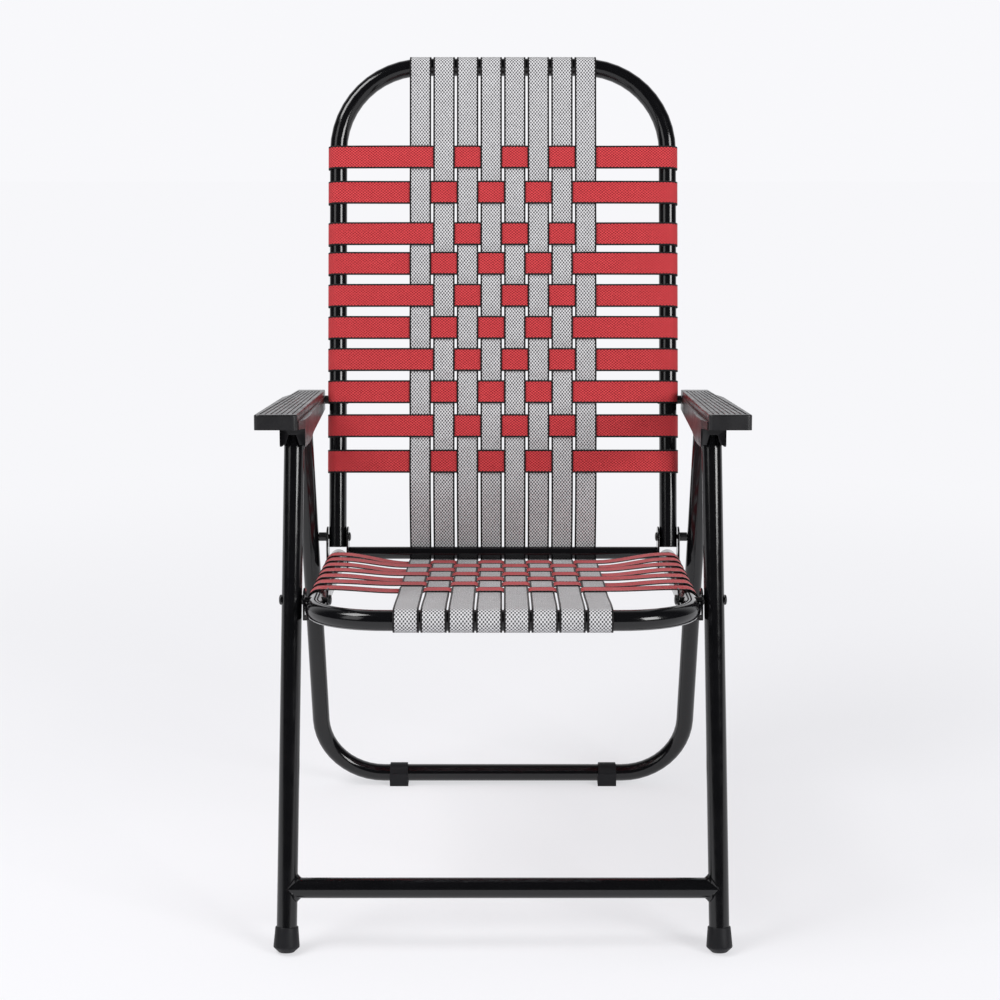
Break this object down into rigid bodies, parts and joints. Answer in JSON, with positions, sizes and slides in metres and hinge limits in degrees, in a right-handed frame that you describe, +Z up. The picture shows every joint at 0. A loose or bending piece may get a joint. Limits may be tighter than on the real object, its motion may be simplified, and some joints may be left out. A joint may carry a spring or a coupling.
{
  "type": "folding lawn chair",
  "caption": "Folding lawn chair: bent tube frame, woven webbing seat and high back, moulded armrests on parallel links, and legs that fold with the back.",
  "frame": {"origin": "on the floor, under the middle of the chair's box", "axes": "+Z up, -Y the way the sitter faces, +X to the right of someone who looks at the chair's front"},
  "size_m": [0.5362, 0.6378, 0.9513],
  "materials": {
    "frame_paint": "gloss black paint",
    "bracket": "gloss black paint",
    "rivet": "black paint",
    "armrest": "semi-gloss black plastic, ribbed on top",
    "foot": "black plastic",
    "red_web": "woven red webbing",
    "grey_web": "woven grey webbing with black flecks"
  },
  "bodies": {
    "rear_legs": {"rear_leg_frame": "frame_paint", "rear_foot_right": "foot", "rear_foot_left": "foot"},
    "seat": {"seat_frame": "frame_paint", "seat_crossbar": "frame_paint", "hinge_bracket_right": "bracket", "hinge_bracket_left": "bracket", "leg_bracket_right": "bracket", "leg_bracket_left": "bracket", "hinge_pin_right": "rivet", "hinge_pin_left": "rivet", "hinge_spacer_right": "rivet", "hinge_spacer_left": "rivet", "leg_pin_right": "rivet", "leg_pin_left": "rivet", "seat_band_1": "red_web", "seat_band_2": "red_web", "seat_band_3": "red_web", "seat_band_4": "red_web", "seat_band_5": "red_web", "seat_band_6": "red_web", "seat_band_7": "red_web", "seat_strap_1": "grey_web", "seat_strap_2": "grey_web", "seat_strap_3": "grey_web", "seat_strap_4": "grey_web", "seat_strap_5": "grey_web", "seat_strap_6": "grey_web", "seat_strap_7": "grey_web", "seat_strap_8": "grey_web"},
    "back": {"back_frame": "frame_paint", "arm_pin_right": "rivet", "arm_pin_left": "rivet", "back_band_1": "red_web", "back_band_2": "red_web", "back_band_3": "red_web", "back_band_4": "red_web", "back_band_5": "red_web", "back_band_6": "red_web", "back_band_7": "red_web", "back_band_8": "red_web", "back_band_9": "red_web", "back_band_10": "red_web", "back_strap_1": "grey_web", "back_strap_2": "grey_web", "back_strap_3": "grey_web", "back_strap_4": "grey_web", "back_strap_5": "grey_web", "back_strap_6": "grey_web", "back_strap_7": "grey_web", "back_strap_8": "grey_web"},
    "front_legs": {"front_leg_right": "frame_paint", "front_leg_left": "frame_paint", "front_crossbar": "frame_paint", "front_foot_right": "foot", "front_foot_left": "foot"},
    "left_arm": {"armrest_left": "armrest", "arm_leg_pin_left": "rivet"},
    "right_arm": {"armrest_right": "armrest", "arm_leg_pin_right": "rivet"}
  },
  "joints": [
    {"name": "seat_fold", "type": "hinge", "parent": "rear_legs", "child": "seat", "pos_m": [0, 0.16347, 0.3534], "axis": [-1, 0, 0], "range_deg": [0, 68.64]},
    {"name": "back_fold", "type": "hinge", "parent": "seat", "child": "back", "pos_m": [0, 0.16347, 0.3534], "axis": [1, 0, 0], "range_deg": [0, 88]},
    {"name": "front_leg_fold", "type": "hinge", "parent": "seat", "child": "front_legs", "pos_m": [0, -0.21172, 0.37203], "axis": [1, 0, 0], "range_deg": [0, 88]},
    {"name": "left_arm_fold", "type": "hinge", "parent": "back", "child": "left_arm", "pos_m": [-0.2245, 0.20491, 0.52342], "axis": [-1, 0, 0], "range_deg": [0, 88]},
    {"name": "right_arm_fold", "type": "hinge", "parent": "back", "child": "right_arm", "pos_m": [0.2245, 0.20491, 0.52342], "axis": [-1, 0, 0], "range_deg": [0, 88]}
  ],
  "couplings": [
    {"joint": "seat_fold", "follows": "back_fold", "ratio": 0.78},
    {"joint": "front_leg_fold", "follows": "back_fold", "ratio": 1},
    {"joint": "left_arm_fold", "follows": "back_fold", "ratio": 1},
    {"joint": "right_arm_fold", "follows": "back_fold", "ratio": 1}
  ]
}
